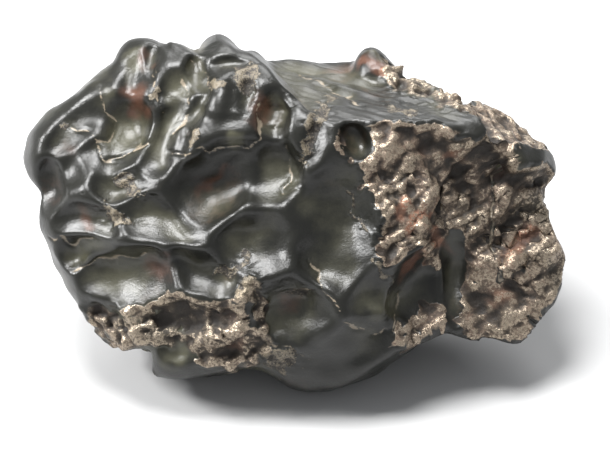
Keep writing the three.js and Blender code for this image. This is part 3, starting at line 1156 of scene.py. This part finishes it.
# %% Crumbs, cracks and the whole colour
CRUMB_TAN = (0.165, 0.138, 0.098, 1)
CREAM = (0.230, 0.190, 0.140, 1)

# Crumbs are speckled tan and dark, and darker in the fine pits, which is painted shade.
crumb_colour_and_shade = (0.25 * (1 - pits_map) + speckle).ramp(0.54, 0.74).blend(TORN_DARK_AND_SHADE, CRUMB_TAN)
colour = is_torn.blend(crust, metal)
colour = (is_crumbly * 0.85).blend(colour, crumb_colour_and_shade)
colour = (in_crack * 0.8).blend(colour, CREAM)
tree.links.new(colour.socket, shader.inputs["Base Color"])

# %% [markdown]
# The crust shines like dark glaze and the torn metal is duller, apart from its glints.
# Only those and a little of the metal round them are metallic, because most of it lies
# under a film of rust.

# %% Gloss and grain
CRUST_IOR = 1.45
BUMP_STRENGTH = 0.4
BUMP_HEIGHT = 0.6 * MM

roughness = 0.19 + 0.14 * mottle + 0.12 * speckle + is_rough * (0.25 - 0.3 * glints)
metallic = is_torn * (0.15 + 0.6 * glints)
height = 0.22 * brushed + 0.3 * grain + 0.14 * speckle + is_rough * (1.5 * chips)
bump = start.node("ShaderNodeBump", {}, Strength=BUMP_STRENGTH, Distance=BUMP_HEIGHT, Height=height)
tree.links.new(roughness.socket, shader.inputs["Roughness"])
tree.links.new(metallic.socket, shader.inputs["Metallic"])
tree.links.new(bump.outputs[0], shader.inputs["Normal"])
shader.inputs["IOR"].default_value = CRUST_IOR

stone.data.materials.clear()
stone.data.materials.append(finish)
print("finish nodes:", len(tree.nodes))

# %% [markdown]
# ## Floor, light and view
#
# A pale sheet lies under the lump. One broad soft light hangs above it, a second
# behind it, and a small one at the left draws bright edges on the nose. The side the
# view comes from is dark, which gives the crust its depth.

# %% Floor
low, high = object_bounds()
size = high - low
middle = (low + high) / 2
FLOOR_REACH = 12 * size.x
FLOOR_GREY = (0.46, 0.46, 0.46, 1)

bpy.ops.mesh.primitive_plane_add(size=2 * FLOOR_REACH, location=(0, 0, low.z))
floor = bpy.context.object
floor.name = "floor"
paper = bpy.data.materials.new("floor")
paper.use_nodes = True
paper_shader = paper.node_tree.nodes["Principled BSDF"]
paper_shader.inputs["Base Color"].default_value = FLOOR_GREY
paper_shader.inputs["Roughness"].default_value = 0.9
paper_shader.inputs["Specular IOR Level"].default_value = 0.1
floor.data.materials.append(paper)
print("floor, m:", round(2 * FLOOR_REACH, 2), "across")


# %% Lights
def add_light(name, toward, distance, width, power):
    lamp = bpy.data.lights.new(name, "AREA")
    lamp.shape = "DISK"
    lamp.size = width
    lamp.energy = power
    holder = bpy.data.objects.new(name, lamp)
    bpy.context.collection.objects.link(holder)
    direction = Vector(toward).normalized()
    holder.location = middle + distance * direction
    holder.rotation_euler = direction.to_track_quat("Z", "Y").to_euler()


add_light("key", toward=(-0.15, 0.1, 1.0), distance=0.7, width=0.34, power=10.5)
add_light("back", toward=(0.15, 1.0, 0.75), distance=0.9, width=0.5, power=5)
add_light("left", toward=(-1.0, -0.05, 0.75), distance=0.5, width=0.16, power=4.2)

# %% Light from all round
SKY_COLOUR = (0.9, 0.92, 0.95, 1)
SKY_STRENGTH = 0.55

world = bpy.data.worlds.new("studio")
bpy.context.scene.world = world
world.use_nodes = True
sky = world.node_tree.nodes["Background"]
sky.inputs["Color"].default_value = SKY_COLOUR
sky.inputs["Strength"].default_value = SKY_STRENGTH

# %% [markdown]
# The view looks straight at the hollowed face, so it comes down as steeply as the lump
# leans back. It stands well off and the lens is long, which keeps the shape true.

# %% Camera
VIEW_DISTANCE = 1.1
PICTURE_WIDTH = 0.1356
VIEW_CENTRE = [1.6, -3.3, 0]  # on the face, in millimetres
SENSOR = 36

lens = bpy.data.cameras.new("view")
lens.sensor_width = SENSOR
lens.lens = SENSOR * VIEW_DISTANCE / PICTURE_WIDTH
camera = bpy.data.objects.new("view", lens)
bpy.context.collection.objects.link(camera)
toward_view = Vector((0, -math.cos(LEAN), math.sin(LEAN)))
camera.rotation_euler = toward_view.to_track_quat("Z", "Y").to_euler()
centre = Vector(to_frame(np.array([VIEW_CENTRE]), shift)[0])
camera.location = centre + VIEW_DISTANCE * toward_view
bpy.context.scene.camera = camera
bpy.context.scene.view_settings.view_transform = "Standard"
print("lens, mm:", round(lens.lens))
